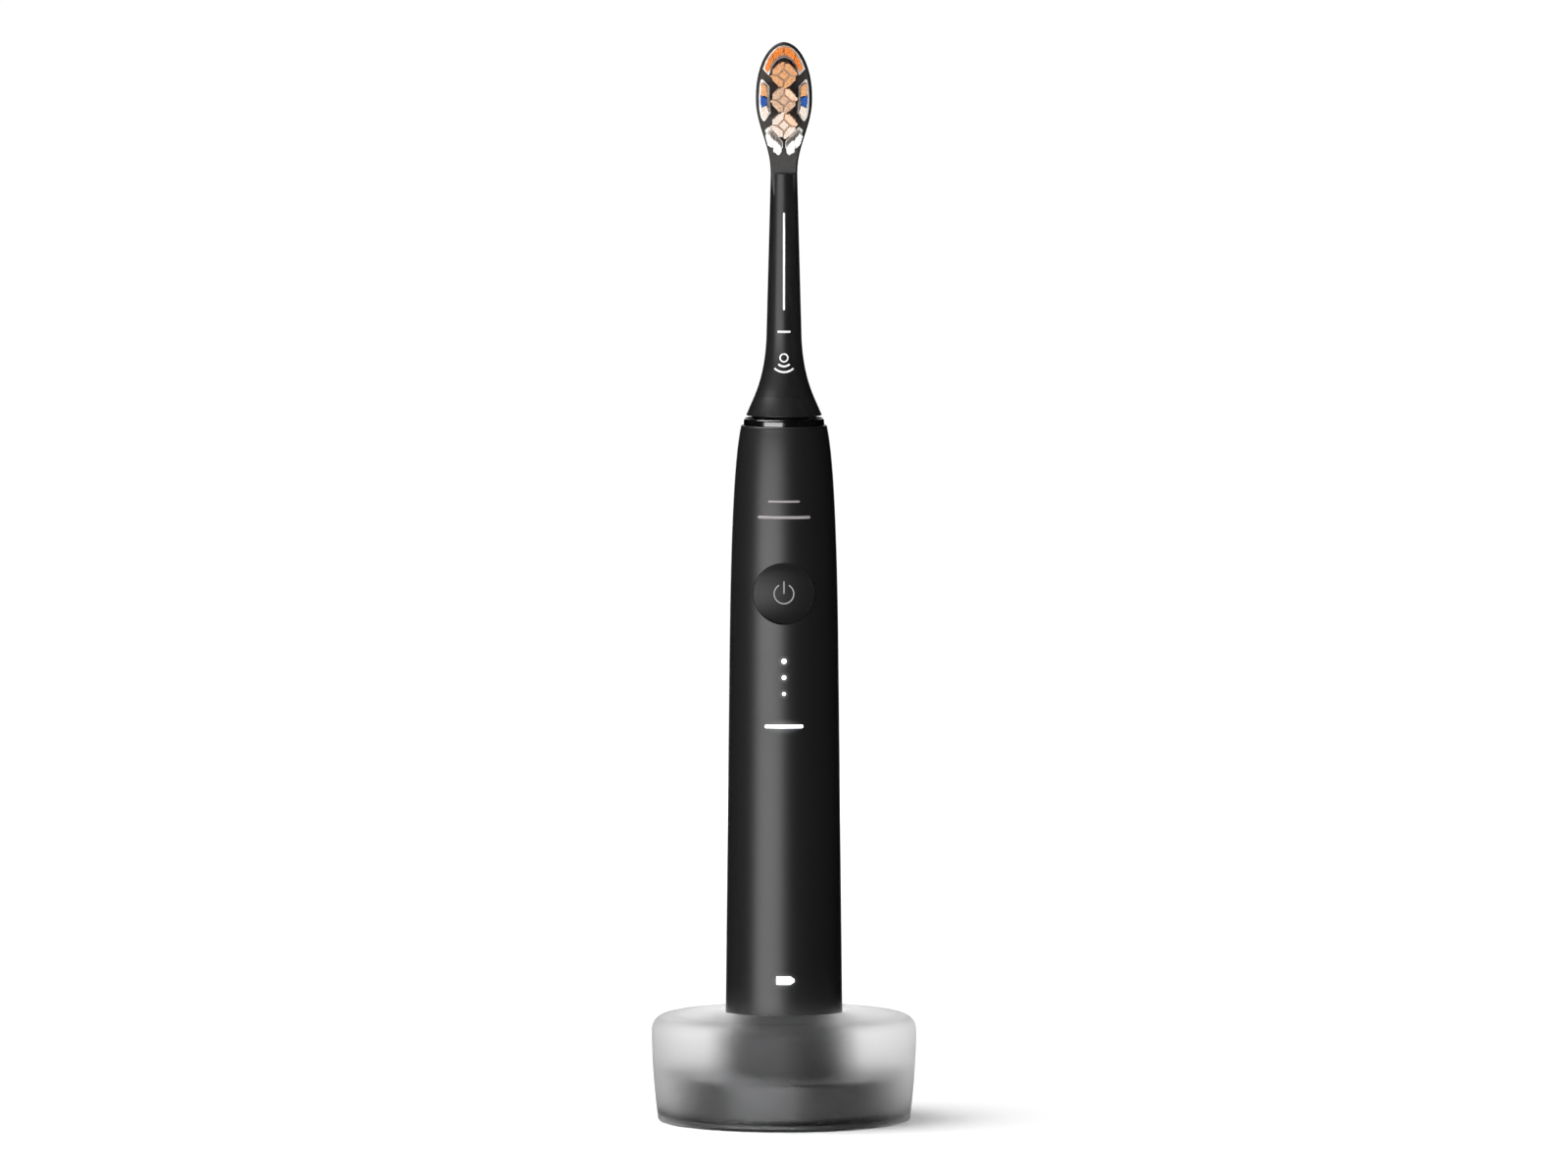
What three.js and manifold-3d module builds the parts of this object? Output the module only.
// An electric sonic toothbrush standing in its inductive charger.
//
// Units are millimetres and +Z is up. The origin is on the table, under the middle of the charger, and the
// bristles, the button and the lights face -Y.
//
// The charger is a thick frosted moulding over a black coil unit. The handle is a tube that drops into it and
// holds the battery, the board, the charging coil and a swinging-magnet motor. The brush head pulls off the
// motor's shaft.
import * as THREE from "three";
import { mergeVertices } from "three/addons/utils/BufferGeometryUtils.js";
import Module from "manifold-3d";

// ---------------------------------------------------------------- driving dimensions

const clear = {
  slide: 0.4, // around a piece that is put in and taken out by hand
  air: 0.3, // between pieces that move past each other
  fit: 0.1, // around a piece that stays where it was assembled
};

// The charger's frosted outer moulding.
const puck = {
  sideRadius: 31.7,
  footRadius: 30.2,
  topRadius: 17, // where the top face starts to fall away
  height: 26.5,
  shoulder: 5, // height of the round shoulder between top and side
  crown: 0.9, // how far the top face falls before the shoulder
  lip: 1.1, // rounding of the recess's mouth
};

// The black coil unit inside it.
const baseUnit = { radius: 25.8, topZ: 11, wall: 1.5, plate: 1.8, rim: 0.8, rimInset: 0.7 };
const post = { radius: 4.6, height: 8.5, wall: 1.2 };
const foot = { thickness: 0.8, innerRadius: 17.5, outerRadius: 24.5 };
const screw = { radius: 1, headRadius: 1.9, headHeight: 1, length: 5.4, circle: 20.5, wall: 1.3 };
const bobbin = { radius: 10.5, flange: 0.7, height: 6 };
const chargerBoard = { innerRadius: 11, outerRadius: 17.2, thickness: 1 };
const gland = { height: 6.1, radius: 2.4, boreRadius: 1.75, flange: 1.1, flangeRadius: 3.2 };

// The handle. Its side is a straight taper up to the waist, and one curve from there to the mouth.
const handle = {
  length: 155.9, // from the seat to the top edge of the tube
  footRadius: 14.15,
  waistRadius: 13.02,
  bendRadius: 12.53, // where the tangents of the shoulder's curve cross
  mouthRadius: 10.19,
  waistDrop: 53.2, // waist below the top edge
  bendDrop: 9.4,
  wall: 1.5,
};
const endCap = { flange: 1.4, height: 7, wall: 1.4, floor: 2, recess: 0.6 };
const seal = { section: 0.4, drop: 2.5 };
const receiver = { width: 3.4, height: 5.2 };
const chassis = { wall: 1, floor: 1.2, mouth: 75 };
const battery = { radius: 7, length: 49.2, capRadius: 2.5, capHeight: 0.8, edge: 0.5 };
const tab = { width: 4, thickness: 0.3, rise: 5 };
const board = { width: 10, thickness: 1, setback: 2.95, lower: 3.5, upper: 26 };
const chip = { size: 5, thickness: 0.9, height: 81 };
const led = { width: 1.6, height: 0.8, thickness: 0.7, strip: 0.3, gap: 0.2 };

// The button and the lights, as heights above the seat.
const button = {
  height: 116.3,
  radius: 7.35,
  domeRadius: 20,
  recess: 0.35, // how far the dome's middle sits behind the tube's front line
  edge: 0.42,
  gap: 0.15,
  travel: 0.5,
  stemRadius: 1.6,
};
const buttonWell = { wall: 0.95, ledge: 1.05 };
const buttonSeal = { thickness: 0.4, holeRadius: 4 };
const tactSwitch = { size: 5.2, thickness: 1.2, plungerRadius: 1.2 };
const lamps = {
  dots: [
    { height: 100.2, radius: 0.6 },
    { height: 96.3, radius: 0.52 },
    { height: 92.4, radius: 0.42 },
  ],
  bar: { height: 84.6, width: 9.2, thickness: 0.8 },
  charge: { height: 23.8, width: 3.7, thickness: 1.95, nib: 0.65 },
  guideDepth: 0.9,
};

// The motor: an E-shaped core pulls two magnets from side to side, and leaf springs bring them back.
const core = { width: 15.6, depth: 6, height: 19.3, back: 3.5, leg: 2.6, middleLeg: 4.4 };
const coil = { height: 12.7, wall: 2.4 };
const magnet = { width: 6.8, depth: 5.6, height: 2.3, airGap: 0.9 };
const armature = { width: 14.8, depth: 6, plate: 1.5, hubRadius: 3.8, hubHeight: 7.8, yoke: 12.8 };
const leaf = { thickness: 0.6, width: 4, length: 10.6, spacing: 10.4 };
const shaft = { radius: 2, above: 23.9, flat: 0.5, flatLength: 18.5, hold: 7 };
const anchor = { thickness: 3.5, bossRadius: 5.2, bossHeight: 6 };
const bearing = { running: 0.08, outerRadius: 3.7, length: 7.1 };
const antenna = { innerRadius: 5, outerRadius: 7.6, thickness: 0.8 };
const topCap = { depth: 3.7, rise: 1.3, spigotRadius: 7.9, holeRadius: 3.3 };
const boot = { wall: 0.85, flangeRadius: 4.3, flange: 0.4, lip: 1.6 };
const trimRing = { height: 1.7, footRadius: 9.75, topRadius: 9.3, bevel: 0.35 };

// The brush head, as heights above its own lower edge.
const head = {
  gap: 0.6, // between the handle's ring and the head's skirt
  skirtRadius: 9.05,
  seamRadius: 7.06,
  seam: 4.7, // top of the skirt's collar
  bend: 11, // where the tangents of the skirt's curve cross
  bendRadius: 4.42,
  neck: 19.3, // where the skirt's curve ends
  neckRadius: 4.2,
  wrist: 55.8, // the narrowest place, under the bristles
  wristRadius: 3.23,
  swell: 58.8, // where the head starts to widen
  fullWidth: 75.3,
  middle: 76.3,
  halfWidth: 6.72,
  tipRise: 12.9, // from the middle to the tip
  front: 2.4, // the bristle face, in front of the shaft's axis
  back: 2.6,
  edge: 0.9,
};
const skirt = { boreRadius: 6.6, ceiling: 3.4, spigot: 2.9, spigotRadius: 4.4 };
const insert = { radius: 3, start: 2.3, length: 19.4 };
const clip = { width: 1.6, thickness: 0.3, length: 9.4, start: 7.1 };
const tag = { innerRadius: 4.6, outerRadius: 6.4, thickness: 0.8, start: 1 };
const face = { rim: 0.35, plate: 0.8, web: 0.4, webInset: 1, root: 0.3, rise: 0.6, chin: 59.6 };

// Bristle tufts. Places on the face are in hundredths: across, of the head's half width, and up, of the rise
// from the middle to the tip. Outlines of the left side are mirrored for the right.
const tuftLength = { tip: 9.6, centre: 9.4, side: 9, heel: 9.2 };
const tipBand = {
  island: { outer: [89, 94.5], inner: [64, 72], from: -1, to: 1 },
  tufts: { outer: [81, 93], inner: [70, 80] },
  spans: [0.05, 0.5, 0.56, 0.94],
};
const centreCluster = { heights: [42.6, -3.9, -50.4], size: 41, flat: 0.4, lean: 0.07 };
const diamondShape = [[-0.36, 0], [0, -0.42], [0.36, 0], [0, 0.42]]; // shares of a centre cluster's size
const petalShape = [[0.13, 0.58], [0.58, 0.13], [0.78, 0.27], [0.27, 0.78]];
const sideIsland = [[-76, 32], [-52, 19], [-51, 0], [-47, -30], [-68, -45], [-74, -45], [-82, -38],
  [-87.5, -23], [-89, 0], [-86, 20], [-82, 31]];
const sideTufts = {
  upper: [[-80, 24], [-74, 26], [-61, 20], [-60, 3.5], [-81, 5.5]],
  blue: [[-82, 3.5], [-61, -0.5], [-62, -12.5], [-74, -17], [-82, -12.5]],
  lower: [[-80, -19], [-61, -14.5], [-54, -27], [-69, -38], [-78, -33]],
};
const heelIsland = [[-67, -62], [-55, -56], [-49, -57], [-4.5, -83], [-4.5, -94.5], [-12, -99],
  [-30, -96], [-45, -89], [-55, -81]];
const heelTufts = [
  [[-60, -66], [-52, -62], [-35, -73], [-40, -84], [-52, -80]],
  [[-33, -76], [-26, -75], [-8, -85], [-9, -94], [-17, -97], [-32, -92]],
];
const heelLean = { across: 0.02, down: 0.07 };

// Facets round a full turn.
const facets = { puck: 56, tube: 40, head: 28, inner: 24, small: 12 };

// ---------------------------------------------------------------- places that follow from them

const seatZ = baseUnit.topZ;
const mouthZ = seatZ + handle.length;
const tubeFootZ = seatZ + endCap.flange;
const ringTopZ = mouthZ + trimRing.height;
const headZ = ringTopZ + head.gap;
const buttonZ = seatZ + button.height;
const headMiddleZ = headZ + head.middle;
const postTopZ = baseUnit.topZ + post.height;
const plateTopZ = foot.thickness + baseUnit.plate;
const rimTopZ = foot.thickness + baseUnit.rim;
const ceilingZ = baseUnit.topZ - baseUnit.wall;

const lerp = (a, b, t) => a + (b - a) * t;
const clamp = (t) => Math.min(1, Math.max(0, t));
const smooth = (t) => clamp(t) ** 2 * (3 - 2 * clamp(t));

// A quadratic curve through [radius, height] points, as a list of points.
function curvePoints(start, bend, end, steps) {
  const points = [start, bend, end].map((p) => new THREE.Vector2(...p));
  const curve = new THREE.QuadraticBezierCurve(...points);
  return curve.getPoints(steps).map((p) => [p.x, p.y]);
}

// The handle's side, from the tube's foot to its mouth.
const handleSide = [
  [handle.footRadius, seatZ],
  ...curvePoints(
    [handle.waistRadius, mouthZ - handle.waistDrop],
    [handle.bendRadius, mouthZ - handle.bendDrop],
    [handle.mouthRadius, mouthZ],
    10,
  ),
];

// The tube's outside radius at a height.
function tubeRadius(z) {
  const next = handleSide.findIndex((p) => p[1] >= z);
  if (next <= 0) return handleSide.at(next)[0];
  const [low, high] = [handleSide[next - 1], handleSide[next]];
  return lerp(low[0], high[0], (z - low[1]) / (high[1] - low[1]));
}
const boreRadius = (z) => tubeRadius(z) - handle.wall;

// Inside the tube.
const boardFrontY = -(boreRadius(buttonZ) - board.setback);
const boardBackY = boardFrontY + board.thickness;
const cupRadius = post.radius + endCap.recess;
const cupTopZ = postTopZ + endCap.recess + post.wall;
const chassisFootZ = cupTopZ + 0.6;
const boardFootZ = chassisFootZ + board.lower;
const boardTopZ = mouthZ - board.upper;
const shaftTopZ = headZ - head.gap + shaft.above - trimRing.height;

// The motor is stacked down from the top cap.
const antennaZ = mouthZ - topCap.depth - antenna.thickness - 0.2;
const anchorTopZ = antennaZ - anchor.bossHeight - 1.7;
const anchorZ = anchorTopZ - anchor.thickness;
const yokeTopZ = anchorZ - leaf.length;
const hubZ = yokeTopZ - armature.plate - armature.hubHeight;
const magnetTopZ = hubZ - armature.plate;
const coreTopZ = magnetTopZ - magnet.height - magnet.airGap;
const coreZ = coreTopZ - core.height;

const chassisRadius = boreRadius(anchorZ) - clear.air;
const chassisBore = chassisRadius - chassis.wall;
const batteryY = chassisBore - battery.radius - 0.2;
const batteryZ = chassisFootZ + chassis.floor + tab.thickness + 0.2;

// ---------------------------------------------------------------- materials

const plastic = (color, roughness) => new THREE.MeshStandardMaterial({ color, roughness, metalness: 0 });
const metal = (color, roughness) => new THREE.MeshStandardMaterial({ color, roughness, metalness: 1 });
const finish = {
  frosted: new THREE.MeshStandardMaterial({
    color: 0xd9dcdd,
    roughness: 0.45,
    transparent: true,
    opacity: 0.5,
  }),
  matteBlack: plastic(0x1b1b1c, 0.5),
  satinBlack: plastic(0x202022, 0.35),
  faceGrey: plastic(0x3b3a38, 0.6),
  glossBlack: plastic(0x0b0b0c, 0.08),
  frameGrey: plastic(0x8c8f92, 0.6),
  whiteRubber: plastic(0xf2f1ee, 0.5),
  blackRubber: plastic(0x161616, 0.8),
  clear: plastic(0xf5f7fa, 0.2),
  board: plastic(0x14532f, 0.5),
  chip: plastic(0x18181a, 0.4),
  cell: plastic(0x2f6f8f, 0.35),
  ferrite: plastic(0x2c2a2a, 0.7),
  copper: metal(0xb8693a, 0.35),
  steel: metal(0xb9bcc0, 0.3),
  nickel: metal(0xc9c6be, 0.25),
  orange: plastic(0xe8852a, 0.6),
  tan: plastic(0xd9a36c, 0.6),
  cream: plastic(0xe6d6c8, 0.6),
  blue: plastic(0x1f62c0, 0.6),
  white: plastic(0xf4f4f2, 0.6),
};

// ---------------------------------------------------------------- solids

const wasm = await Module();
wasm.setup();

// A closed three.js geometry as a manifold-3d solid.
function solidOf(geometry) {
  const bare = geometry.index ? geometry.toNonIndexed() : geometry.clone();
  for (const name of Object.keys(bare.attributes)) if (name !== "position") bare.deleteAttribute(name);
  const merged = mergeVertices(bare, 1e-4);
  const vertProperties = merged.attributes.position.array;
  const triVerts = new Uint32Array(merged.index.array);
  return new wasm.Manifold(new wasm.Mesh({ numProp: 3, vertProperties, triVerts }));
}

// A manifold-3d solid as a three.js geometry.
function geometryOf(solid) {
  const mesh = solid.getMesh();
  const geometry = new THREE.BufferGeometry();
  geometry.setAttribute("position", new THREE.BufferAttribute(mesh.vertProperties, 3));
  geometry.setIndex(new THREE.BufferAttribute(mesh.triVerts, 1));
  return geometry;
}

const join = (...parts) => geometryOf(parts.map(solidOf).reduce((a, b) => a.add(b)));
const cut = (body, ...tools) =>
  geometryOf(tools.map(solidOf).reduce((a, b) => a.subtract(b), solidOf(body)));
const overlap = (a, b) => geometryOf(solidOf(a).intersect(solidOf(b)));

// A solid of revolution about Z from a closed [radius, height] outline, or from one whose ends are on
// the axis.
function turned(outline, sides = facets.inner) {
  const onAxis = outline[0][0] === 0 && outline.at(-1)[0] === 0;
  const points = onAxis ? outline : [...outline, outline[0]];
  const area = points.reduce((sum, p, i) => {
    const q = points[(i + 1) % points.length];
    return sum + p[0] * q[1] - q[0] * p[1];
  }, 0);
  const ordered = area > 0 ? points : points.toReversed();
  return new THREE.LatheGeometry(ordered.map((p) => new THREE.Vector2(...p)), sides).rotateX(Math.PI / 2);
}

// A ring or tube about Z.
const ring = (inner, outer, low, high, sides) =>
  turned([[inner, low], [outer, low], [outer, high], [inner, high]], sides);

// A solid cylinder about Z.
const rod = (radius, low, high, sides) =>
  turned([[0, low], [radius, low], [radius, high], [0, high]], sides);

// A cylinder along Y, from y0 back to y1, round the point x, z.
function rodY(radius, y0, y1, x, z, sides = facets.inner) {
  const geometry = new THREE.CylinderGeometry(radius, radius, Math.abs(y1 - y0), sides);
  return geometry.translate(x, (y0 + y1) / 2, z);
}

// A box from its lowest to its highest corner.
function block([x0, y0, z0], [x1, y1, z1]) {
  const geometry = new THREE.BoxGeometry(x1 - x0, y1 - y0, z1 - z0);
  return geometry.translate((x0 + x1) / 2, (y0 + y1) / 2, (z0 + z1) / 2);
}

// A flat outline in X and Y, extruded up from low to high.
function standing(shape, low, high, curveSegments = 6) {
  const settings = { depth: high - low, bevelEnabled: false, curveSegments };
  const geometry = new THREE.ExtrudeGeometry(shape, settings);
  return geometry.translate(0, 0, low);
}

// A flat outline in X and Z, extruded forwards from y = back to y = front.
function facing(shape, back, front, options = {}) {
  const settings = { bevelEnabled: false, curveSegments: 6, ...options, depth: back - front };
  return new THREE.ExtrudeGeometry(shape, settings).rotateX(Math.PI / 2).translate(0, back, 0);
}

const outlineOf = (points) => new THREE.Shape(points.map((p) => new THREE.Vector2(...p)));

// ---------------------------------------------------------------- charger

// The frosted moulding: a thick ring round the handle, with a skirt that drops over the coil unit.
function puckBody() {
  const recess = handle.footRadius + clear.slide;
  const skirtBore = baseUnit.radius + clear.air;
  const sideZ = puck.height - puck.shoulder;
  const lipTop = [recess + puck.lip, puck.height];
  const outside = [
    [skirtBore, rimTopZ],
    [puck.footRadius - puck.lip / 3, rimTopZ],
    ...curvePoints(
      [puck.footRadius, rimTopZ + puck.lip / 3],
      [puck.sideRadius, sideZ - puck.shoulder],
      [puck.sideRadius, sideZ],
      3,
    ),
    ...curvePoints(
      [puck.sideRadius, sideZ],
      [puck.sideRadius, puck.height - puck.crown],
      [puck.sideRadius - puck.shoulder, puck.height - puck.crown],
      5,
    ).slice(1),
    [lerp(puck.topRadius, puck.sideRadius - puck.shoulder, 0.5), puck.height - puck.crown / 4],
    ...curvePoints(lipTop, [recess, puck.height], [recess, puck.height - puck.lip], 3),
    [recess, baseUnit.topZ + clear.air],
    [skirtBore, baseUnit.topZ + clear.air],
  ];
  return cut(turned(outside, facets.puck), glandHole());
}

// The hole that the cord's gland passes through, at the back.
const glandHole = () => rodY(gland.radius + clear.fit, ceilingZ, puck.sideRadius + 1, 0, gland.height, 16);

// The coil unit's cover: a shallow cup, upside down, with the hollow post that stands in the handle.
function baseCover() {
  const inner = baseUnit.radius - baseUnit.wall;
  const hollow = post.radius - post.wall;
  const shell = turned(
    [
      [0, postTopZ],
      [post.radius - post.wall / 2, postTopZ],
      [post.radius, postTopZ - post.wall / 2],
      [post.radius, baseUnit.topZ],
      [baseUnit.radius, baseUnit.topZ],
      [baseUnit.radius, plateTopZ],
      [inner, plateTopZ],
      [inner, ceilingZ],
      [hollow, ceilingZ],
      [hollow, postTopZ - post.wall],
      [0, postTopZ - post.wall],
    ],
    facets.tube,
  );
  const bossRadius = screw.radius + screw.wall;
  const bossTopZ = ceilingZ + baseUnit.wall / 2;
  const atScrew = (radius, low, high) => (side) =>
    rod(radius, low, high, facets.small).translate(side * screw.circle, 0, 0);
  const bosses = screwSides.map(atScrew(bossRadius, plateTopZ, bossTopZ));
  const screwTopZ = foot.thickness + clear.fit + screw.headHeight + screw.length;
  const holes = screwSides.map(atScrew(screw.radius + clear.fit, 0, screwTopZ + clear.air));
  return cut(join(shell, ...bosses), ...holes, glandHole());
}

const screwSides = [-1, 1];

// The plate that closes the coil unit from below. Its rim carries the frosted moulding.
function basePlate() {
  const rimRadius = puck.footRadius - baseUnit.rimInset;
  const outline = [
    [0, foot.thickness],
    [rimRadius, foot.thickness],
    [rimRadius, rimTopZ],
    [baseUnit.radius, rimTopZ],
    [baseUnit.radius, plateTopZ],
    [0, plateTopZ],
  ];
  const disc = turned(outline, facets.tube);
  const counterbore = foot.thickness + screw.headHeight + 2 * clear.fit;
  const holes = screwSides.flatMap((side) => [
    rod(screw.headRadius + clear.fit, 0, counterbore, facets.small).translate(side * screw.circle, 0, 0),
    rod(screw.radius + clear.fit, 0, plateTopZ + 1, facets.small).translate(side * screw.circle, 0, 0),
  ]);
  return cut(disc, ...holes);
}

// The rubber ring that the charger stands on. It covers the screws.
const footRing = () => ring(foot.innerRadius, foot.outerRadius, 0, foot.thickness, facets.tube);

// A pan-head screw with a cross slot, driven up through the plate.
function baseScrew(side) {
  const low = foot.thickness + clear.fit;
  const neck = low + screw.headHeight;
  const body = turned(
    [
      [0, low],
      [screw.headRadius, low],
      [screw.headRadius, neck],
      [screw.radius, neck],
      [screw.radius, neck + screw.length - screw.radius],
      [0, neck + screw.length],
    ],
    facets.small,
  );
  const half = screw.headRadius * 0.6;
  const slot = screw.radius * 0.2;
  const cross = [
    block([-half, -slot, low - 1], [half, slot, low + screw.headHeight / 2]),
    block([-slot, -half, low - 1], [slot, half, low + screw.headHeight / 2]),
  ];
  return cut(body, ...cross).translate(side * screw.circle, 0, 0);
}

// The former that the charging coil is wound on, round the foot of the post's core.
function primaryBobbin() {
  const low = plateTopZ + clear.air;
  const inner = post.radius - post.wall;
  const high = low + bobbin.height;
  return turned([
    [inner, low],
    [bobbin.radius, low],
    [bobbin.radius, low + bobbin.flange],
    [post.radius, low + bobbin.flange],
    [post.radius, high - bobbin.flange],
    [bobbin.radius, high - bobbin.flange],
    [bobbin.radius, high],
    [inner, high],
  ]);
}

function primaryCoil() {
  const low = plateTopZ + clear.air + bobbin.flange + clear.fit;
  const high = plateTopZ + clear.air + bobbin.height - bobbin.flange - clear.fit;
  return ring(post.radius + clear.fit, bobbin.radius - 2 * clear.air, low, high);
}

// The ferrite rod that carries the field up into the handle.
const ferriteCore = () =>
  rod(post.radius - post.wall - clear.air, plateTopZ + clear.air, postTopZ - post.wall - clear.air);

function chargerPcb() {
  const low = plateTopZ + 2 * clear.air;
  const { innerRadius, outerRadius, thickness } = chargerBoard;
  return ring(innerRadius, outerRadius, low, low + thickness, facets.tube);
}

// The rubber gland that holds the cord: a flanged tube, pushed in from inside.
function cordGland() {
  const wallY = Math.sqrt((baseUnit.radius - baseUnit.wall) ** 2 - gland.flangeRadius ** 2) - clear.air;
  const endY = puck.footRadius + clear.air;
  const profile = [
    [gland.boreRadius, 0],
    [gland.flangeRadius, 0],
    [gland.flangeRadius, gland.flange],
    [gland.radius, gland.flange],
    [gland.radius, endY - wallY],
    [gland.radius - clear.air, endY - wallY + gland.flange],
    [gland.boreRadius, endY - wallY + gland.flange],
  ];
  return turned(profile, 16).rotateX(-Math.PI / 2).translate(0, wallY - gland.flange, gland.height);
}

// ---------------------------------------------------------------- handle: tube and lower end

// The solid inside the handle's outer surface, up to the mouth.
const handleOutside = () =>
  turned([[0, seatZ], ...handleSide, [0, mouthZ]], facets.tube);

// Where the light guides' bars end behind the wall, just in front of the diodes.
const guideBackY = () => boardFrontY - led.thickness - led.strip - led.gap;

// A flat outline that reaches from the diodes out through the tube's wall, shifted to a height.
const throughWall = (shape, z) =>
  facing(shape, guideBackY(), -handle.footRadius - 1).translate(0, 0, z);

function disc(radius) {
  return new THREE.Shape().absarc(0, 0, radius, 0, 2 * Math.PI);
}

// The lit bar: a slot with round ends.
function barOutline(grow) {
  const { width, thickness } = lamps.bar;
  const radius = thickness / 2 + grow;
  const half = (width - thickness) / 2;
  const shape = new THREE.Shape();
  shape.absarc(half, 0, radius, -Math.PI / 2, Math.PI / 2);
  shape.absarc(-half, 0, radius, Math.PI / 2, (3 * Math.PI) / 2);
  return shape;
}

// The charge light: a battery with its nib to the right.
function batteryOutline(grow) {
  const { width, thickness, nib } = lamps.charge;
  const [x, z, corner] = [width / 2 + grow, thickness / 2 + grow, thickness / 5];
  const nibZ = z * 0.4;
  return outlineOf([
    [-x, corner - z], [corner - x, -z], [x - corner, -z], [x, -nibZ - nib / 4], [x + nib, -nibZ],
    [x + nib, nibZ], [x, nibZ + nib / 4], [x - corner, z], [corner - x, z], [-x, z - corner],
  ]);
}

// The tube: one long shell, with a well for the button and windows for the lights.
function handleHousing() {
  const inner = handleSide.toReversed().map(([radius, z]) => [radius - handle.wall, z]);
  const footOut = [tubeRadius(tubeFootZ), tubeFootZ];
  const footIn = [boreRadius(tubeFootZ), tubeFootZ];
  const shell = turned([footOut, ...handleSide.slice(1), ...inner.slice(0, -1), footIn], facets.tube);
  const wellRadius = button.radius + button.gap;
  const wellBackY = boardFrontY - clear.air;
  const lump = rodY(wellRadius + buttonWell.wall, wellBackY, -handle.footRadius, 0, buttonZ, facets.head);
  const well = overlap(lump, handleOutside());
  const ledgeY = wellBackY - buttonWell.ledge;
  const holes = [
    rodY(wellRadius, ledgeY, -handle.footRadius - 1, 0, buttonZ, facets.head),
    rodY(wellRadius - buttonWell.ledge, 0, -handle.footRadius, 0, buttonZ, facets.head),
    ...lamps.dots.map((dot) => throughWall(disc(dot.radius + clear.fit), seatZ + dot.height)),
    throughWall(barOutline(clear.fit), seatZ + lamps.bar.height),
    throughWall(batteryOutline(clear.fit), seatZ + lamps.charge.height),
  ];
  return cut(join(shell, well), ...holes);
}

// The cap that closes the tube from below. Its middle is a cup that the charger's post stands in.
function endCapBody() {
  const plug = boreRadius(tubeFootZ) - clear.fit;
  const plugTopZ = tubeFootZ + endCap.height;
  const grooveZ = plugTopZ - seal.drop;
  const grooveRadius = plug - 2 * seal.section - clear.fit;
  const floorZ = seatZ + endCap.floor;
  const wallRadius = cupRadius + post.wall;
  const grooveHalf = seal.section + clear.fit;
  return turned(
    [
      [0, cupTopZ],
      [wallRadius, cupTopZ],
      [wallRadius, floorZ],
      [plug - endCap.wall - seal.section, floorZ],
      [plug - endCap.wall - seal.section, plugTopZ],
      [plug, plugTopZ],
      [plug, grooveZ + grooveHalf],
      [grooveRadius, grooveZ + grooveHalf],
      [grooveRadius, grooveZ - grooveHalf],
      [plug, grooveZ - grooveHalf],
      [plug, tubeFootZ - clear.fit],
      [tubeRadius(seatZ), tubeFootZ - clear.fit],
      [tubeRadius(seatZ) - clear.air, seatZ],
      [cupRadius, seatZ],
      [cupRadius, cupTopZ - post.wall],
      [0, cupTopZ - post.wall],
    ],
    facets.tube,
  );
}

function endCapSeal() {
  const plug = boreRadius(tubeFootZ) - clear.fit;
  const torus = new THREE.TorusGeometry(plug - seal.section, seal.section, 6, facets.tube);
  return torus.translate(0, 0, tubeFootZ + endCap.height - seal.drop);
}

// The coil that picks up the charger's field, round the cup.
function receiverCoil() {
  const inner = cupRadius + post.wall + clear.fit;
  const low = seatZ + endCap.floor + clear.fit;
  return ring(inner, inner + receiver.width, low, low + receiver.height);
}

// ---------------------------------------------------------------- handle: frame, battery and board

// The frame is a long trough, open at the front, with floors under the battery, over it and under the motor.
function chassisBody() {
  const start = THREE.MathUtils.degToRad(chassis.mouth - 90);
  const end = Math.PI - start;
  const trough = new THREE.Shape();
  trough.absarc(0, 0, chassisRadius, start, end);
  trough.absarc(0, 0, chassisBore, end, start, true);
  const slice = new THREE.Shape();
  slice.absarc(0, 0, chassisBore + chassis.wall / 2, start, end);
  const floorAt = (z) => standing(slice, z, z + chassis.floor, 16);
  const batteryTopZ = batteryZ + battery.length + battery.capHeight + tab.thickness + clear.air;
  return join(
    standing(trough, chassisFootZ, anchorZ, 16),
    floorAt(chassisFootZ),
    floorAt(batteryTopZ),
    floorAt(coreZ - chassis.floor),
  );
}

// A lithium-ion cell with rounded edges and a raised positive cap.
function batteryCell() {
  const { radius, length, capRadius, capHeight, edge } = battery;
  const topZ = batteryZ + length;
  return turned([
    [0, batteryZ],
    [radius - edge, batteryZ],
    [radius, batteryZ + edge],
    [radius, topZ - edge],
    [radius - edge, topZ],
    [capRadius, topZ],
    [capRadius, topZ + capHeight],
    [0, topZ + capHeight],
  ]).translate(0, batteryY, 0);
}

// A nickel strip on the cell's end, bent up (or down) along the back of the board.
function batteryTab(z, direction) {
  const near = boardBackY + clear.fit;
  const half = tab.width / 2;
  const far = batteryY + tab.width / 2;
  const bendZ = z + (direction > 0 ? 0 : tab.thickness);
  const ends = [bendZ, bendZ + direction * tab.rise].sort((a, b) => a - b);
  return join(
    block([-half, near, z], [half, far, z + tab.thickness]),
    block([-half, near, ends[0]], [half, near + tab.thickness, ends[1]]),
  );
}

const mainPcb = () =>
  block([-board.width / 2, boardFrontY, boardFootZ], [board.width / 2, boardBackY, boardTopZ]);

function controllerChip() {
  const half = chip.size / 2;
  const z = seatZ + chip.height;
  return block([-half, boardBackY, z - half], [half, boardBackY + chip.thickness, z + half]);
}

// A light-emitting diode on the front of the board.
function diode(z, low = boardFrontY) {
  const [x, half] = [led.width / 2, led.height / 2];
  return block([-x, low - led.thickness, z - half], [x, low, z + half]);
}

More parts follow.
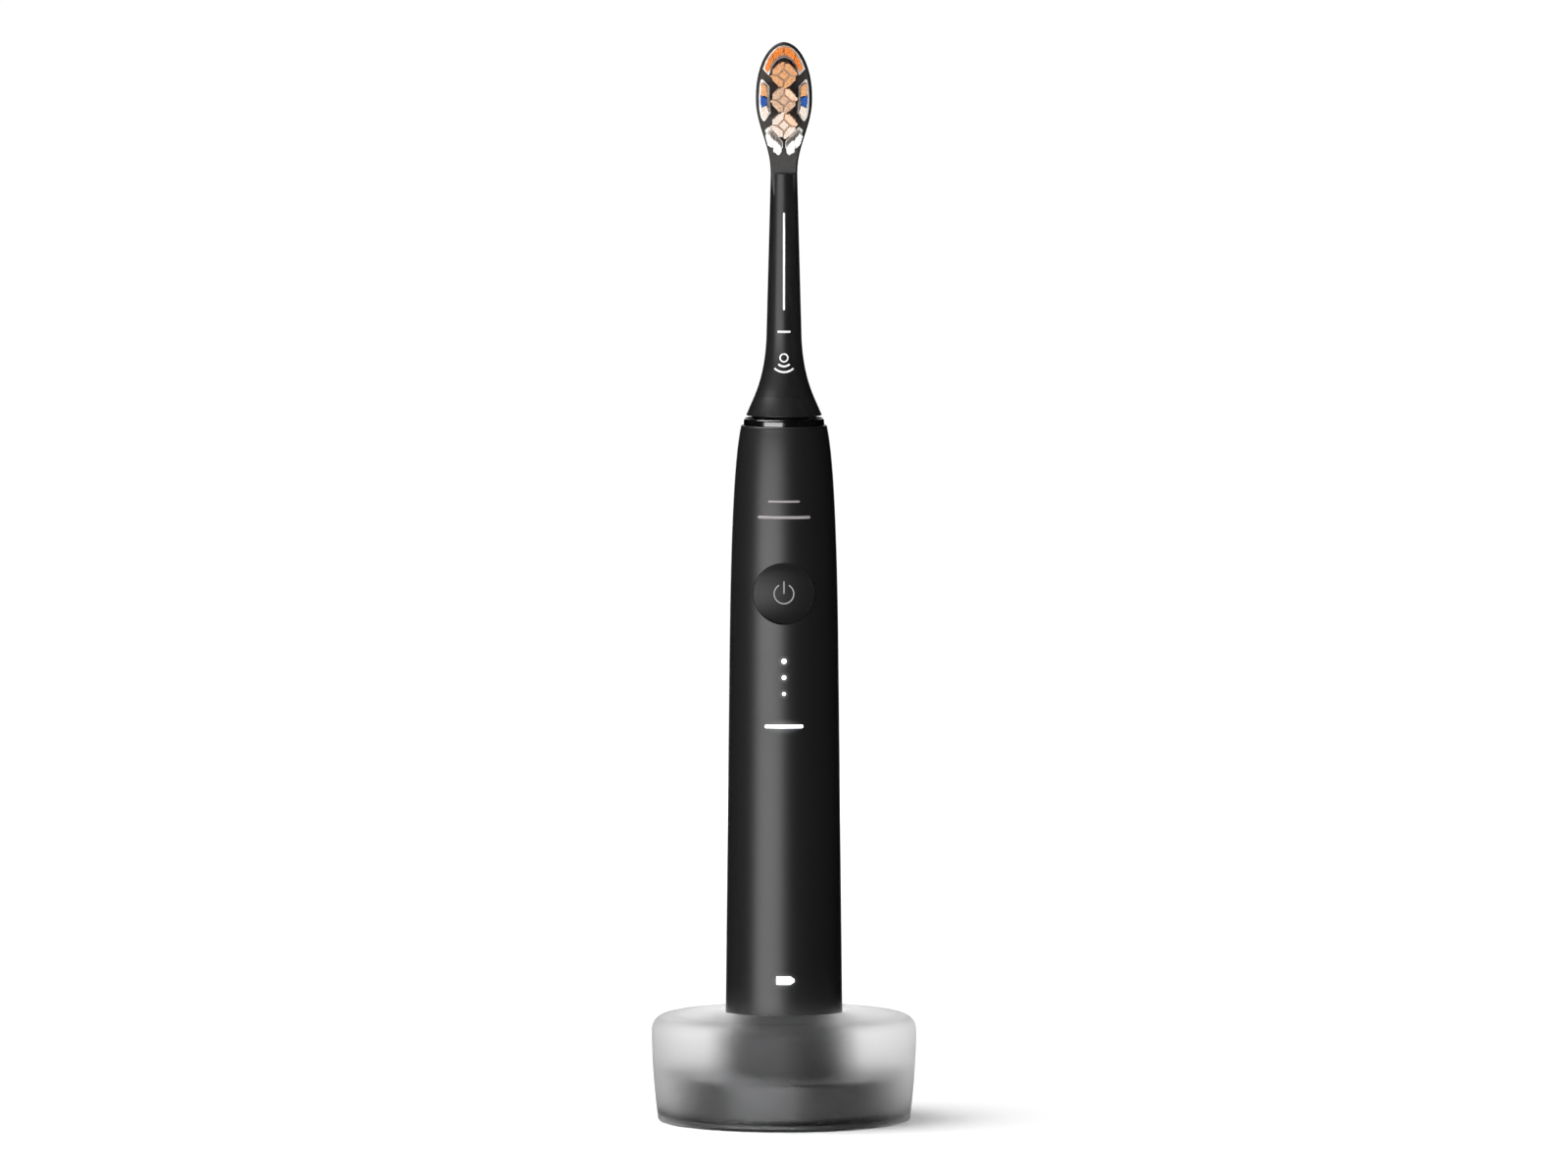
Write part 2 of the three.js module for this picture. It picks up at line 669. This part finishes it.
// Four diodes on one strip: three for the dots and one for the bar.
function indicatorLeds() {
  const heights = [...lamps.dots, lamps.bar].map((lamp) => seatZ + lamp.height);
  const [x, low, high] = [led.width / 2 + 0.2, Math.min(...heights) - 1, Math.max(...heights) + 1];
  const strip = block([-x, boardFrontY - led.strip, low], [x, boardFrontY, high]);
  return join(strip, ...heights.map((z) => diode(z, boardFrontY - led.strip + 0.05)));
}

// A bar of the light guide behind the wall, of half width x, between two heights.
const guideBar = (x, low, high) =>
  block([-x, guideBackY() - lamps.guideDepth, low], [x, guideBackY(), high]);

// The clear moulding that carries the light of the four diodes through the wall.
function modeLightGuide() {
  const dots = lamps.dots.map((dot) => throughWall(disc(dot.radius), seatZ + dot.height));
  const barZ = seatZ + lamps.bar.height;
  const bar = throughWall(barOutline(0), barZ);
  const topZ = seatZ + lamps.dots[0].height + 1.5;
  const half = Math.min(lamps.bar.width / 2, guideHalfWidth(topZ));
  const inside = join(guideBar(1.2, barZ - 1, topZ), guideBar(half, barZ - 0.9, barZ + 0.9));
  return join(inside, ...[...dots, bar].map((pin) => overlap(pin, handleOutside())));
}

// The widest bar that clears the bore at a height.
function guideHalfWidth(z) {
  const reach = boreRadius(z) - clear.air;
  return Math.sqrt(reach ** 2 - (guideBackY() - lamps.guideDepth) ** 2);
}

function chargeLightGuide() {
  const z = seatZ + lamps.charge.height;
  const half = lamps.charge.width / 2 + lamps.charge.nib;
  const pin = overlap(throughWall(batteryOutline(0), z), handleOutside());
  return join(guideBar(half, z - lamps.charge.thickness / 2, z + lamps.charge.thickness / 2), pin);
}

// ---------------------------------------------------------------- button

// The front line of the tube at the button, and the dome's middle behind it.
const domeFrontY = -(tubeRadius(buttonZ) - button.recess);
const domeDrop = button.domeRadius - Math.sqrt(button.domeRadius ** 2 - button.radius ** 2);
const capBackY = domeFrontY + domeDrop + button.edge;
const plungerFrontY = boardFrontY - tactSwitch.thickness - button.travel - clear.fit;

// The round key: a shallow dome with a stem behind it.
function buttonCap() {
  const rise = (radius) => button.domeRadius - Math.sqrt(button.domeRadius ** 2 - radius ** 2);
  const rings = [0, 0.3, 0.55, 0.8, 1].map((share) => share * button.radius);
  const dome = rings.map((radius) => [radius, -domeFrontY - rise(radius)]);
  const stemEnd = -plungerFrontY + clear.fit / 2;
  const outline = [
    [0, stemEnd],
    [button.stemRadius, stemEnd],
    [button.stemRadius, -capBackY],
    [button.radius, -capBackY],
    ...dome.toReversed(),
  ];
  return turned(outline, facets.head).rotateX(Math.PI / 2).translate(0, 0, buttonZ);
}

// The rubber washer under the key, on the well's ledge.
function buttonSealBody() {
  const ledgeY = boardFrontY - clear.air - buttonWell.ledge;
  const { holeRadius, thickness } = buttonSeal;
  const washer = ring(holeRadius, button.radius, -ledgeY, -ledgeY + thickness, facets.head);
  return washer.rotateX(Math.PI / 2).translate(0, 0, buttonZ);
}

function switchBody() {
  const half = tactSwitch.size / 2;
  const [low, high] = [[-half, boardFrontY - tactSwitch.thickness, -half], [half, boardFrontY, half]];
  const hole = rodY(tactSwitch.plungerRadius + clear.fit, -handle.footRadius, 0, 0, 0, facets.small);
  return cut(block(low, high), hole).translate(0, 0, buttonZ);
}

function switchPlunger() {
  const backY = boardFrontY - button.travel - clear.fit;
  return rodY(tactSwitch.plungerRadius, backY, plungerFrontY, 0, buttonZ, facets.small);
}

// ---------------------------------------------------------------- motor

// The E-shaped core stands on the frame's floor with its three legs up.
function statorCore() {
  const x = core.width / 2;
  const middle = core.middleLeg / 2;
  const bottom = core.back;
  const legs = outlineOf([
    [-x, 0], [x, 0], [x, core.height], [x - core.leg, core.height], [x - core.leg, bottom],
    [middle, bottom], [middle, core.height], [-middle, core.height], [-middle, bottom],
    [core.leg - x, bottom], [core.leg - x, core.height], [-x, core.height],
  ]);
  return facing(legs, core.depth / 2, -core.depth / 2).translate(0, 0, coreZ);
}

// The winding on the middle leg.
function statorCoil() {
  const low = coreZ + core.back + clear.air;
  const high = low + coil.height;
  const [x, y] = [core.middleLeg / 2 + clear.fit, core.depth / 2 + clear.fit];
  const winding = block([-x - coil.wall, -y - coil.wall, low], [x + coil.wall, y + coil.wall, high]);
  return cut(winding, block([-x, -y, low - 1], [x, y, high + 1]));
}

// The swinging frame: a plate over the magnets, a hub on the shaft, and a yoke under the leaf springs.
function armatureBody() {
  const [x, y] = [armature.width / 2, armature.depth / 2];
  const [yokeX, yokeY] = [armature.yoke / 2, leaf.width / 2 + clear.air];
  const body = join(
    block([-x, -y, magnetTopZ], [x, y, hubZ]),
    rod(armature.hubRadius, hubZ - 0.1, yokeTopZ - 0.1),
    block([-yokeX, -yokeY, yokeTopZ - armature.plate], [yokeX, yokeY, yokeTopZ]),
  );
  return cut(body, rod(shaft.radius + clear.fit, yokeTopZ - shaft.hold - clear.air, yokeTopZ + 1));
}

function magnetBlock(side) {
  const [near, far] = [clear.air, clear.air + magnet.width].map((x) => side * x).sort((a, b) => a - b);
  const y = magnet.depth / 2;
  return block([near, -y, magnetTopZ - magnet.height], [far, y, magnetTopZ]);
}

function leafSpring(side) {
  const x = (side * leaf.spacing) / 2;
  const [half, y] = [leaf.thickness / 2, leaf.width / 2];
  return block([x - half, -y, yokeTopZ], [x + half, y, anchorZ]);
}

// The steel shaft, with a flat at the back where the brush head's clip grips it.
function driveShaft() {
  const low = yokeTopZ - shaft.hold;
  const tipZ = shaftTopZ - shaft.flat;
  const body = turned([
    [0, low],
    [shaft.radius, low],
    [shaft.radius, tipZ],
    [shaft.radius - shaft.flat, shaftTopZ],
    [0, shaftTopZ],
  ]);
  const flatY = shaft.radius - shaft.flat;
  const flatFootZ = shaftTopZ - shaft.flatLength;
  const away = block([-shaft.radius - 1, flatY, flatFootZ], [shaft.radius + 1, 9, shaftTopZ + 1]);
  return cut(body, away);
}

// The block that the leaf springs and the shaft's bearing are fixed in.
function springAnchor() {
  const radius = boreRadius(anchorTopZ) - clear.air;
  const topZ = anchorTopZ + anchor.bossHeight;
  const bore = bearing.outerRadius + clear.fit;
  const seat = topZ - bearing.length - clear.air;
  return turned([
    [shaft.radius + clear.slide, anchorZ],
    [radius, anchorZ],
    [radius, anchorTopZ],
    [anchor.bossRadius, anchorTopZ],
    [anchor.bossRadius, topZ],
    [bore, topZ],
    [bore, seat],
    [shaft.radius + clear.slide, seat],
  ]);
}

function frontBearing() {
  const topZ = anchorTopZ + anchor.bossHeight;
  const bore = (shaft.radius + bearing.running) / Math.cos(Math.PI / facets.inner);
  return ring(bore, bearing.outerRadius, topZ - bearing.length, topZ);
}

// ---------------------------------------------------------------- handle: upper end

// The printed ring that reads the brush head's tag.
const syncAntenna = () =>
  ring(antenna.innerRadius, antenna.outerRadius, antennaZ, antennaZ + antenna.thickness);

// The plug that closes the tube's mouth round the shaft.
function topCapBody() {
  const lowZ = mouthZ - topCap.depth;
  const radius = boreRadius(mouthZ) - clear.fit;
  const topZ = mouthZ + topCap.rise;
  return turned(
    [
      [topCap.holeRadius, lowZ],
      [radius, lowZ],
      [radius, mouthZ - clear.fit],
      [topCap.spigotRadius, mouthZ - clear.fit],
      [topCap.spigotRadius, topZ],
      [topCap.holeRadius, topZ],
    ],
    facets.tube,
  );
}

// The gloss ring between the tube and the brush head.
function trimRingBody() {
  const inner = topCap.spigotRadius + clear.fit;
  const { footRadius, topRadius, bevel } = trimRing;
  return turned(
    [
      [inner, mouthZ],
      [footRadius, mouthZ],
      [lerp(footRadius, topRadius, 0.7), ringTopZ - bevel],
      [topRadius - bevel, ringTopZ],
      [inner, ringTopZ],
    ],
    facets.tube,
  );
}

// The rubber boot that keeps water out along the shaft.
function shaftSeal() {
  const topZ = mouthZ + topCap.rise;
  const inner = shaft.radius + clear.air;
  return turned([
    [inner, mouthZ - topCap.depth + 0.5],
    [topCap.holeRadius - clear.fit, mouthZ - topCap.depth + 0.5],
    [topCap.holeRadius - clear.fit, topZ],
    [boot.flangeRadius, topZ],
    [boot.flangeRadius, topZ + boot.flange],
    [inner + boot.wall, topZ + boot.flange],
    [inner + boot.wall / 2, topZ + boot.flange + boot.lip],
    [inner, topZ + boot.flange + boot.lip],
  ]);
}

// ---------------------------------------------------------------- brush head

// The skirt's collar: the lowest stretch of the head, with a spigot that joins it to the neck.
function skirtCollar() {
  const ceiling = headZ + skirt.ceiling;
  const seamZ = headZ + head.seam;
  const bore = insert.radius + clear.fit;
  return turned(
    [
      [skirt.boreRadius, headZ],
      [head.skirtRadius, headZ],
      [head.seamRadius, seamZ],
      [skirt.spigotRadius, seamZ],
      [skirt.spigotRadius, seamZ + skirt.spigot],
      [bore, seamZ + skirt.spigot],
      [bore, ceiling],
      [skirt.boreRadius, ceiling],
    ],
    facets.head,
  );
}

// The half width of the neck and head at a height above the head's lower edge.
function neckHalfWidth(height) {
  const taper = (height - head.neck) / (head.wrist - head.neck);
  const neck = lerp(head.neckRadius, head.wristRadius, clamp(taper));
  return lerp(neck, head.halfWidth, smooth((height - head.swell) / (head.fullWidth - head.swell)));
}

// The outline of the head, seen from the front, from a height up to the tip, pulled in by an inset.
function headOutline(fromHeight, inset) {
  const steps = 8;
  const heights = Array.from({ length: steps + 1 }, (_, i) => lerp(fromHeight, head.middle, i / steps));
  const side = heights.map((height) => [neckHalfWidth(height) - inset, headZ + height]);
  const shape = new THREE.Shape();
  shape.moveTo(side[0][0], side[0][1]);
  side.slice(1).forEach(([x, z]) => shape.lineTo(x, z));
  shape.absellipse(0, headMiddleZ, head.halfWidth - inset, head.tipRise - inset, 0, Math.PI);
  side.toReversed().slice(1).forEach(([x, z]) => shape.lineTo(-x, z));
  return shape;
}

// The neck is a hollow round stem, and the head a flat oval with a pocket for the bristle field.
function headBody() {
  const seamZ = headZ + head.seam;
  const bore = insert.radius + clear.fit;
  const boreTopZ = headZ + insert.start + insert.length + clear.air;
  const stemTopZ = headZ + head.fullWidth;
  const stem = turned(
    [
      [0, boreTopZ],
      [bore, boreTopZ],
      [bore, seamZ + skirt.spigot + clear.fit],
      [skirt.spigotRadius + clear.fit, seamZ + skirt.spigot + clear.fit],
      [skirt.spigotRadius + clear.fit, seamZ],
      ...curvePoints(
        [head.seamRadius, seamZ],
        [head.bendRadius, headZ + head.bend],
        [head.neckRadius, headZ + head.neck],
        7,
      ),
      [head.wristRadius, headZ + head.wrist],
      [head.wristRadius * 0.6, stemTopZ],
      [0, stemTopZ],
    ],
    facets.head,
  );
  const { edge } = head;
  const bevel = {
    bevelEnabled: true,
    bevelThickness: edge,
    bevelSize: edge,
    bevelOffset: -edge,
    bevelSegments: 3,
  };
  const paddle = facing(headOutline(head.swell - 3, 0), head.back - edge, edge - head.front - edge / 2, {
    ...bevel,
    curveSegments: 10,
  });
  const facetZ = headZ + head.swell - 1;
  const inFront = block([-20, -20, facetZ], [20, -head.front, headMiddleZ + head.tipRise + 1]);
  const pocketDepth = face.plate + face.web + face.root + 2 * clear.fit;
  const pocket = facing(headOutline(face.chin, face.rim), pocketDepth - head.front, -head.front - 1);
  return cut(join(stem, paddle), inFront, pocket);
}

// The sleeve that grips the shaft, slotted at the back for the steel clip.
function socketInsert() {
  const low = headZ + insert.start;
  const sleeve = ring(shaft.radius + clear.air, insert.radius, low, low + insert.length);
  const half = clip.width / 2 + clear.fit;
  const slotZ = headZ + clip.start - clear.fit;
  const slot = block([-half, 0, slotZ], [half, insert.radius + 1, slotZ + clip.length + 2 * clear.fit]);
  return cut(sleeve, slot);
}

function springClip() {
  const half = clip.width / 2;
  const y = shaft.radius + clear.air;
  const z = headZ + clip.start;
  return block([-half, y, z], [half, y + clip.thickness, z + clip.length]);
}

const headTag = () =>
  ring(tag.innerRadius, tag.outerRadius, headZ + tag.start, headZ + tag.start + tag.thickness);

// ---------------------------------------------------------------- bristle field

// A place on the face, from hundredths of its half width and of its rise.
const onFace = ([x, z]) => [(x * head.halfWidth) / 100, headMiddleZ + (z * head.tipRise) / 100];
const mirrored = (points) => points.map(([x, z]) => [-x, z]).toReversed();

// An outline moved out by a distance, with its corners kept sharp.
function grown(points, distance) {
  const turn = Math.sign(THREE.ShapeUtils.area(points.map((p) => new THREE.Vector2(...p))));
  const normals = points.map((p, i) => {
    const next = points[(i + 1) % points.length];
    return new THREE.Vector2(next[1] - p[1], p[0] - next[0]).normalize().multiplyScalar(turn);
  });
  return points.map(([x, z], i) => {
    const [before, after] = [normals.at(i - 1), normals[i]];
    const reach = distance / (1 + before.dot(after));
    return [x + (before.x + after.x) * reach, z + (before.y + after.y) * reach];
  });
}

// A sector of the band between two ellipses about the head's middle.
function bandSector({ outer, inner }, from, to, steps) {
  const arc = ([a, b], start, end) =>
    Array.from({ length: steps + 1 }, (_, i) => {
      const angle = lerp(start, end, i / steps);
      return onFace([a * Math.sin(angle), b * Math.cos(angle)]);
    });
  return [...arc(inner, from, to), ...arc(outer, to, from)];
}

// The levels of the bristle field, from the pocket's floor forwards.
const rootBackY = -head.front + face.plate + face.web + face.root + clear.fit;
const rootFrontY = rootBackY - face.root;
const webBackY = rootFrontY - clear.fit;
const webFrontY = webBackY - face.web;

// A tuft is a column that starts in its root and leans as it goes forwards.
function column(points, length, lean = [0, 0], back = rootBackY - 0.05) {
  const prism = facing(outlineOf(points), 0, -(length + back + head.front));
  const skew = new THREE.Matrix4().set(1, -lean[0], 0, 0, 0, 1, 0, 0, 0, -lean[1], 1, 0, 0, 0, 0, 1);
  return prism.applyMatrix4(skew).translate(0, back, 0);
}

// The four tufts at the tip, as outlines.
function tipOutlines() {
  const [a, b, c, d] = tipBand.spans;
  return [[-d, -c], [-b, -a], [a, b], [c, d]].map(([from, to]) => bandSector(tipBand.tufts, from, to, 2));
}

// One centre cluster: a straight diamond in the middle, and four tufts round it that lean outwards.
function clusterTufts(height) {
  const [size, z] = onFace([centreCluster.size, height]);
  const diamond = diamondShape.map((p) => [p[0] * size, z + p[1] * size]);
  const turns = [0, 1, 2, 3].map((quarter) => {
    const [c, s] = [Math.cos((quarter * Math.PI) / 2), Math.sin((quarter * Math.PI) / 2)];
    const points = petalShape.map(([u, v]) => [(u * c - v * s) * size, z + (u * s + v * c) * size]);
    const lean = centreCluster.lean;
    return { points: points.toReversed(), lean: [lean * (c - s), lean * (s + c)] };
  });
  return [{ points: diamond, lean: [0, 0] }, ...turns];
}

// An octagon round a centre cluster.
function clusterIsland(height) {
  const [size, z] = onFace([centreCluster.size, height]);
  const flat = size * centreCluster.flat;
  const corners = [[size, -flat], [size, flat], [flat, size], [-flat, size], [-size, flat], [-size, -flat],
    [-flat, -size], [flat, -size]];
  return corners.map((p) => [p[0], z + p[1]]);
}

// Every island of the white matrix, and every tuft that passes through it.
const place = (points) => points.map(onFace);
const sides = { left: (points) => place(points), right: (points) => place(mirrored(points)) };
const leanOfHeel = { left: [-heelLean.across, -heelLean.down], right: [heelLean.across, -heelLean.down] };
const tuftsOf = {
  tip: tipOutlines().map((points) => ({ points, lean: [0, 0] })),
  centre: centreCluster.heights.map(clusterTufts),
};
for (const [side, map] of Object.entries(sides)) {
  tuftsOf["side_" + side] = [sideTufts.upper, sideTufts.lower].map((p) => ({
    points: map(p),
    lean: [0, 0],
  }));
  tuftsOf["blue_" + side] = [{ points: map(sideTufts.blue), lean: [0, 0] }];
  tuftsOf["heel_" + side] = heelTufts.map((p) => ({ points: map(p), lean: leanOfHeel[side] }));
}
const islands = {
  tip: bandSector(tipBand.island, tipBand.island.from, tipBand.island.to, 10),
  centre: centreCluster.heights.map(clusterIsland),
  side_left: sides.left(sideIsland),
  side_right: sides.right(sideIsland),
  heel_left: sides.left(heelIsland),
  heel_right: sides.right(heelIsland),
};
const allIslands = Object.values(islands).flatMap((item) => (Array.isArray(item[0][0]) ? item : [item]));
const allTufts = Object.values(tuftsOf).flat(2);

// The dark plate round the islands.
function facePlate() {
  const plate = facing(headOutline(face.chin, face.rim + clear.fit), webFrontY - clear.fit, -head.front);
  const windows = allIslands.map((points) => facing(outlineOf(grown(points, clear.fit)), 0, -9));
  return cut(plate, ...windows);
}

// The white elastomer: a web under the plate, with the islands standing up through it.
function tuftMatrix() {
  const web = facing(headOutline(face.chin + 1, face.rim + face.webInset), webBackY, webFrontY);
  const risen = allIslands.map((points) => facing(outlineOf(points), webBackY, -head.front - face.rise));
  const holes = allTufts.map(({ points, lean }) => column(grown(points, clear.fit), 20, lean));
  return cut(join(web, ...risen), ...holes);
}

// The tufts of one island, fused together behind the web, where their ends were melted.
function fused(tufts, rootOutline, length) {
  const root = facing(outlineOf(rootOutline), rootBackY, rootFrontY);
  return join(root, ...tufts.map(({ points, lean }) => column(points, length, lean)));
}

function tipTufts() {
  const [, , , end] = tipBand.spans;
  const root = bandSector(tipBand.tufts, -end, end, 8);
  return fused(tuftsOf.tip, root, tuftLength.tip);
}

function centreTufts(index) {
  const root = grown(clusterIsland(centreCluster.heights[index]), -0.25);
  return fused(tuftsOf.centre[index], root, tuftLength.centre);
}

// The tan and the cream tuft of a side share a bar that passes behind the blue one.
function sideTuftPair(side) {
  const [upper, lower] = tuftsOf["side_" + side];
  const xs = upper.points.map((p) => p[0]);
  const zs = [...upper.points, ...lower.points].map((p) => p[1]);
  const middle = (Math.min(...xs) + Math.max(...xs)) / 2;
  const bar = block(
    [middle - 0.3, rootFrontY + face.root / 2, Math.min(...zs) + 1],
    [middle + 0.3, rootBackY, Math.max(...zs) - 1],
  );
  return join(bar, ...[upper, lower].map(({ points }) => column(points, tuftLength.side)));
}

const blueTuft = (side) => column(tuftsOf["blue_" + side][0].points, tuftLength.side, [0, 0], rootFrontY);

function heelTuftPair(side) {
  return fused(tuftsOf["heel_" + side], grown(islands["heel_" + side], -0.35), tuftLength.heel);
}

// ---------------------------------------------------------------- assembly

const root = new THREE.Group();

function assembly(name) {
  const group = new THREE.Group();
  group.name = name;
  root.add(group);
  return (node, geometry, material) => {
    const mesh = new THREE.Mesh(geometry, material);
    mesh.name = node;
    group.add(mesh);
  };
}

const charger = assembly("charger");
charger("puck_body", puckBody(), finish.frosted);
charger("base_cover", baseCover(), finish.satinBlack);
charger("base_plate", basePlate(), finish.matteBlack);
charger("foot_ring", footRing(), finish.blackRubber);
screwSides.forEach((side, i) => charger("base_screw_" + (i + 1), baseScrew(side), finish.steel));
charger("primary_bobbin", primaryBobbin(), finish.frameGrey);
charger("primary_coil", primaryCoil(), finish.copper);
charger("ferrite_core", ferriteCore(), finish.ferrite);
charger("charger_pcb", chargerPcb(), finish.board);
charger("cord_gland", cordGland(), finish.blackRubber);

const grip = assembly("handle");
grip("handle_housing", handleHousing(), finish.matteBlack);
grip("end_cap", endCapBody(), finish.matteBlack);
grip("end_cap_seal", endCapSeal(), finish.blackRubber);
grip("receiver_coil", receiverCoil(), finish.copper);
grip("chassis", chassisBody(), finish.frameGrey);
grip("battery_cell", batteryCell(), finish.cell);
const capZ = batteryZ + battery.length + battery.capHeight;
grip("battery_tab_bottom", batteryTab(batteryZ - tab.thickness, 1), finish.nickel);
grip("battery_tab_top", batteryTab(capZ, -1), finish.nickel);
grip("main_pcb", mainPcb(), finish.board);
grip("controller_chip", controllerChip(), finish.chip);
grip("indicator_leds", indicatorLeds(), finish.clear);
grip("charge_led", diode(seatZ + lamps.charge.height), finish.clear);
grip("mode_light_guide", modeLightGuide(), finish.clear);
grip("charge_light_guide", chargeLightGuide(), finish.clear);
grip("switch_body", switchBody(), finish.chip);
grip("button_seal", buttonSealBody(), finish.blackRubber);
grip("stator_core", statorCore(), finish.steel);
grip("stator_coil", statorCoil(), finish.copper);
grip("leaf_spring_left", leafSpring(-1), finish.steel);
grip("leaf_spring_right", leafSpring(1), finish.steel);
grip("spring_anchor", springAnchor(), finish.frameGrey);
grip("front_bearing", frontBearing(), finish.nickel);
grip("sync_antenna", syncAntenna(), finish.board);
grip("top_cap", topCapBody(), finish.satinBlack);
grip("trim_ring", trimRingBody(), finish.glossBlack);
grip("shaft_seal", shaftSeal(), finish.blackRubber);
grip("button_cap", buttonCap(), finish.matteBlack);
grip("switch_plunger", switchPlunger(), finish.frameGrey);

const drive = assembly("drive");
drive("drive_shaft", driveShaft(), finish.steel);
drive("armature", armatureBody(), finish.steel);
drive("magnet_left", magnetBlock(-1), finish.nickel);
drive("magnet_right", magnetBlock(1), finish.nickel);

const brush = assembly("brush_head");
brush("head_body", headBody(), finish.satinBlack);
brush("skirt_collar", skirtCollar(), finish.matteBlack);
brush("socket_insert", socketInsert(), finish.frameGrey);
brush("spring_clip", springClip(), finish.steel);
brush("head_tag", headTag(), finish.board);
brush("face_plate", facePlate(), finish.faceGrey);
brush("tuft_matrix", tuftMatrix(), finish.whiteRubber);
brush("tip_tufts", tipTufts(), finish.orange);
centreCluster.heights.forEach((_, i) =>
  brush("center_tufts_" + (i + 1), centreTufts(i), i === 2 ? finish.cream : finish.tan),
);
for (const side of ["left", "right"]) {
  brush("side_tufts_" + side, sideTuftPair(side), finish.tan);
  brush("blue_tuft_" + side, blueTuft(side), finish.blue);
  brush("heel_tufts_" + side, heelTuftPair(side), finish.white);
}

export default root;
